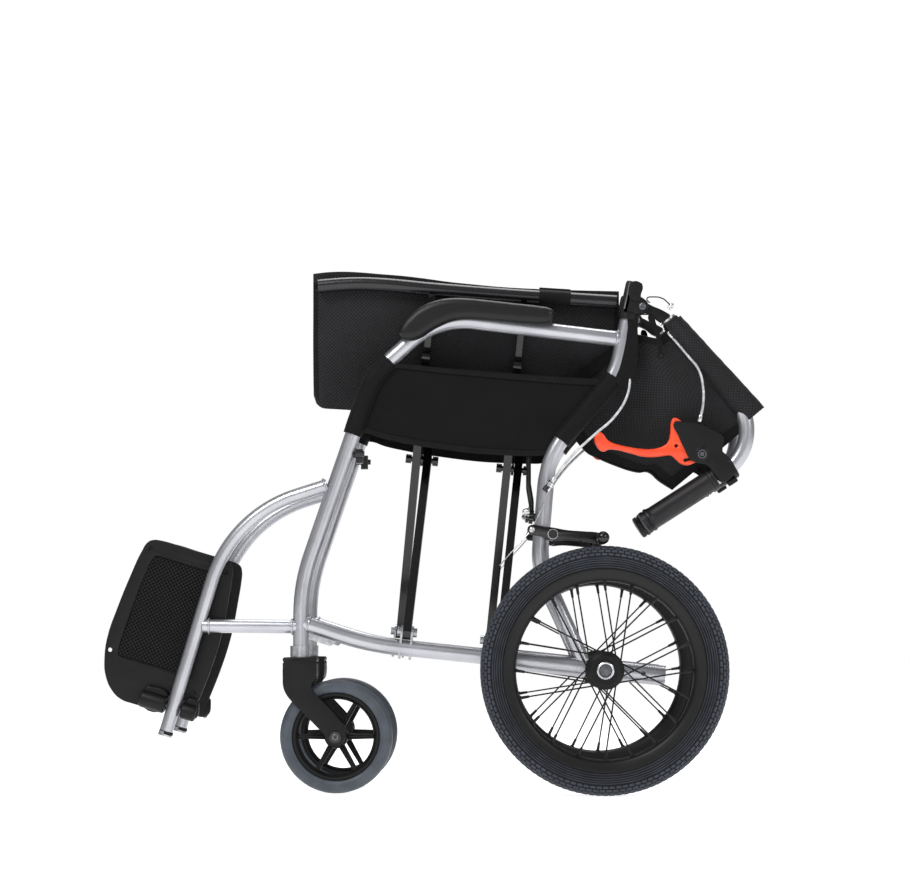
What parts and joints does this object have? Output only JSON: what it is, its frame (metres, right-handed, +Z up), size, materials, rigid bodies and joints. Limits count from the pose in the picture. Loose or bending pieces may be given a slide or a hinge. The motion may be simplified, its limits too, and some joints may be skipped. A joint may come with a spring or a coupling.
{
  "type": "folding manual wheelchair",
  "caption": "Folding transit wheelchair stored folded: scissor frame, swing-down backrest, flip-up footplates, casters, spoked rear wheels and hand brakes.",
  "frame": {"origin": "middle of the folded chair's box, on the floor", "axes": "-X is the way the chair faces, +Z is up, -Y is the chair's left side"},
  "size_m": [0.9199, 0.344, 0.7345],
  "materials": {
    "silver_paint": "metallic silver lacquer",
    "black_paint": "gloss black lacquer",
    "bright_hardware": "bright plated steel",
    "black_plastic": "satin moulded plastic",
    "pad_foam": "soft integral-skin foam",
    "fabric_black": "woven black nylon",
    "mesh_black": "black spacer mesh",
    "lever_orange": "satin orange-red lever",
    "cable_grey": "silver-grey cable housing",
    "grip_rubber": "ribbed soft rubber",
    "tyre_grey": "dark slate rubber"
  },
  "bodies": {
    "side_left": {"side_hoop_left": "silver_paint", "back_post_left": "silver_paint", "lower_rail_left": "silver_paint", "leg_hanger_left": "silver_paint", "frame_hardware_left": "bright_hardware", "arm_pad_left": "pad_foam", "side_panel_left": "fabric_black", "hinge_socket_left": "black_plastic", "rear_axle_left": "bright_hardware", "brake_cable_lower_left": "cable_grey"},
    "back_left": {"back_tube_left": "silver_paint", "hinge_head_left": "black_plastic", "grip_left": "grip_rubber", "lever_bracket_left": "black_plastic", "brake_cable_upper_left": "cable_grey"},
    "back_half_left": {"back_sling_left": "mesh_black"},
    "seat_half_left": {"seat_sling_left": "mesh_black"},
    "lever_left": {"brake_lever_left": "lever_orange"},
    "brake_left": {"brake_arm_left": "black_plastic"},
    "stay_left": {"stay_link_left": "black_paint"},
    "foot_left": {"footplate_left": "black_plastic"},
    "swivel_left": {"caster_fork_left": "black_plastic"},
    "caster_left": {"caster_rim_left": "black_plastic", "caster_tyre_left": "tyre_grey"},
    "wheel_left": {"rear_hub_left": "black_plastic", "rear_rim_left": "black_paint", "rear_spokes_left": "black_paint", "rear_tyre_left": "tyre_grey"},
    "side_right": {"side_hoop_right": "silver_paint", "back_post_right": "silver_paint", "lower_rail_right": "silver_paint", "leg_hanger_right": "silver_paint", "frame_hardware_right": "bright_hardware", "arm_pad_right": "pad_foam", "side_panel_right": "fabric_black", "hinge_socket_right": "black_plastic", "rear_axle_right": "bright_hardware", "brake_cable_lower_right": "cable_grey"},
    "back_right": {"back_tube_right": "silver_paint", "hinge_head_right": "black_plastic", "grip_right": "grip_rubber", "lever_bracket_right": "black_plastic", "brake_cable_upper_right": "cable_grey"},
    "back_half_right": {"back_sling_right": "mesh_black"},
    "seat_half_right": {"seat_sling_right": "mesh_black"},
    "lever_right": {"brake_lever_right": "lever_orange"},
    "brake_right": {"brake_arm_right": "black_plastic"},
    "stay_right": {"stay_link_right": "black_paint"},
    "foot_right": {"footplate_right": "black_plastic"},
    "swivel_right": {"caster_fork_right": "black_plastic"},
    "caster_right": {"caster_rim_right": "black_plastic", "caster_tyre_right": "tyre_grey"},
    "wheel_right": {"rear_hub_right": "black_plastic", "rear_rim_right": "black_paint", "rear_spokes_right": "black_paint", "rear_tyre_right": "tyre_grey"},
    "cross_a": {"cross_tubes_a": "black_paint", "seat_rail_right": "black_paint"},
    "cross_b": {"cross_tubes_b": "black_paint", "seat_rail_left": "black_paint"}
  },
  "joints": [
    {"name": "frame_fold", "type": "hinge", "parent": "side_left", "child": "cross_a", "pos_m": [-0.034, -0.08, 0.226], "axis": [-0.9945, 0, 0.1045], "range_deg": [0, 41.8]},
    {"name": "middle_pivot", "type": "hinge", "parent": "cross_a", "child": "cross_b", "pos_m": [-0.00792, 0, 0.47412], "axis": [-0.9945, 0, 0.1045], "range_deg": [-83.7, 0]},
    {"name": "right_pivot", "type": "hinge", "parent": "cross_b", "child": "side_right", "pos_m": [-0.034, 0.08, 0.226], "axis": [-0.9945, 0, 0.1045], "range_deg": [0, 41.9]},
    {"name": "seat_flap_left", "type": "hinge", "parent": "cross_b", "child": "seat_half_left", "pos_m": [0.01736, -0.05131, 0.71468], "axis": [0.9945, 0, -0.1045], "range_deg": [0, 26.3]},
    {"name": "seat_flap_right", "type": "hinge", "parent": "cross_a", "child": "seat_half_right", "pos_m": [0.01736, 0.05131, 0.71468], "axis": [-0.9945, 0, 0.1045], "range_deg": [0, 26.3]},
    {"name": "back_unfold_left", "type": "hinge", "parent": "side_left", "child": "back_left", "pos_m": [0.3, -0.08, 0.687], "axis": [0, -1, 0], "range_deg": [0, 127]},
    {"name": "back_unfold_right", "type": "hinge", "parent": "side_right", "child": "back_right", "pos_m": [0.3, 0.08, 0.687], "axis": [0, -1, 0], "range_deg": [0, 127.1]},
    {"name": "back_flap_left", "type": "hinge", "parent": "back_left", "child": "back_half_left", "pos_m": [0.3366, -0.08, 0.6704], "axis": [0.6413, 0, -0.7673], "range_deg": [0, 72.1]},
    {"name": "stay_swing_left", "type": "hinge", "parent": "side_left", "child": "stay_left", "pos_m": [0.1425, -0.063, 0.392], "axis": [-0.9945, 0, 0.1045], "range_deg": [0, 45.1]},
    {"name": "footplate_flip_left", "type": "hinge", "parent": "side_left", "child": "foot_left", "pos_m": [-0.36377, -0.08, 0.12108], "axis": [-0.9583, 0, 0.2857], "range_deg": [0, 80.1]},
    {"name": "lever_squeeze_left", "type": "hinge", "parent": "back_left", "child": "lever_left", "pos_m": [0.3824, -0.09, 0.4761], "axis": [0, -1, 0], "range_deg": [0, 22], "stiffness_Nm_per_rad": 0.6, "springref_deg": -20.05},
    {"name": "brake_apply_left", "type": "hinge", "parent": "side_left", "child": "brake_left", "pos_m": [0.1715, -0.106, 0.363], "axis": [0, 1, 0], "range_deg": [0, 2.6]},
    {"name": "caster_swivel_left", "type": "hinge", "parent": "side_left", "child": "swivel_left", "pos_m": [-0.1852, -0.08, 0.19], "axis": [0, 0, 1], "continuous": true},
    {"name": "caster_spin_left", "type": "hinge", "parent": "swivel_left", "child": "caster_left", "pos_m": [-0.1335, -0.08, 0.0795], "axis": [0, 1, 0], "continuous": true},
    {"name": "rear_spin_left", "type": "hinge", "parent": "side_left", "child": "wheel_left", "pos_m": [0.242, -0.138, 0.173], "axis": [0, 1, 0], "continuous": true},
    {"name": "back_flap_right", "type": "hinge", "parent": "back_right", "child": "back_half_right", "pos_m": [0.3366, 0.08, 0.6704], "axis": [-0.6413, 0, 0.7673], "range_deg": [0, 72.1]},
    {"name": "stay_swing_right", "type": "hinge", "parent": "side_right", "child": "stay_right", "pos_m": [0.1425, 0.063, 0.392], "axis": [0.9945, 0, -0.1045], "range_deg": [0, 45.1]},
    {"name": "footplate_flip_right", "type": "hinge", "parent": "side_right", "child": "foot_right", "pos_m": [-0.36377, 0.08, 0.12108], "axis": [0.9583, 0, -0.2857], "range_deg": [0, 80.1]},
    {"name": "lever_squeeze_right", "type": "hinge", "parent": "back_right", "child": "lever_right", "pos_m": [0.3824, 0.09, 0.4761], "axis": [0, -1, 0], "range_deg": [0, 22], "stiffness_Nm_per_rad": 0.6, "springref_deg": -20.05},
    {"name": "brake_apply_right", "type": "hinge", "parent": "side_right", "child": "brake_right", "pos_m": [0.1715, 0.106, 0.363], "axis": [0, 1, 0], "range_deg": [0, 2.6]},
    {"name": "caster_swivel_right", "type": "hinge", "parent": "side_right", "child": "swivel_right", "pos_m": [-0.1852, 0.08, 0.19], "axis": [0, 0, 1], "continuous": true},
    {"name": "caster_spin_right", "type": "hinge", "parent": "swivel_right", "child": "caster_right", "pos_m": [-0.1335, 0.08, 0.0795], "axis": [0, 1, 0], "continuous": true},
    {"name": "rear_spin_right", "type": "hinge", "parent": "side_right", "child": "wheel_right", "pos_m": [0.242, 0.138, 0.173], "axis": [0, 1, 0], "continuous": true}
  ],
  "couplings": [
    {"joint": "middle_pivot", "follows": "frame_fold", "ratio": -2},
    {"joint": "right_pivot", "follows": "frame_fold", "ratio": 1},
    {"joint": "seat_flap_left", "follows": "frame_fold", "ratio": 0.62679},
    {"joint": "seat_flap_right", "follows": "frame_fold", "ratio": 0.62679},
    {"joint": "back_unfold_right", "follows": "back_unfold_left", "ratio": 1},
    {"joint": "back_flap_left", "follows": "frame_fold", "ratio": 1.7225},
    {"joint": "stay_swing_left", "follows": "frame_fold", "ratio": 1.0766},
    {"joint": "footplate_flip_left", "follows": "frame_fold", "ratio": 1.9139},
    {"joint": "brake_apply_left", "follows": "lever_squeeze_left", "ratio": 0.11364},
    {"joint": "back_flap_right", "follows": "frame_fold", "ratio": 1.7225},
    {"joint": "stay_swing_right", "follows": "frame_fold", "ratio": 1.0766},
    {"joint": "footplate_flip_right", "follows": "frame_fold", "ratio": 1.9139},
    {"joint": "brake_apply_right", "follows": "lever_squeeze_right", "ratio": 0.11364}
  ]
}
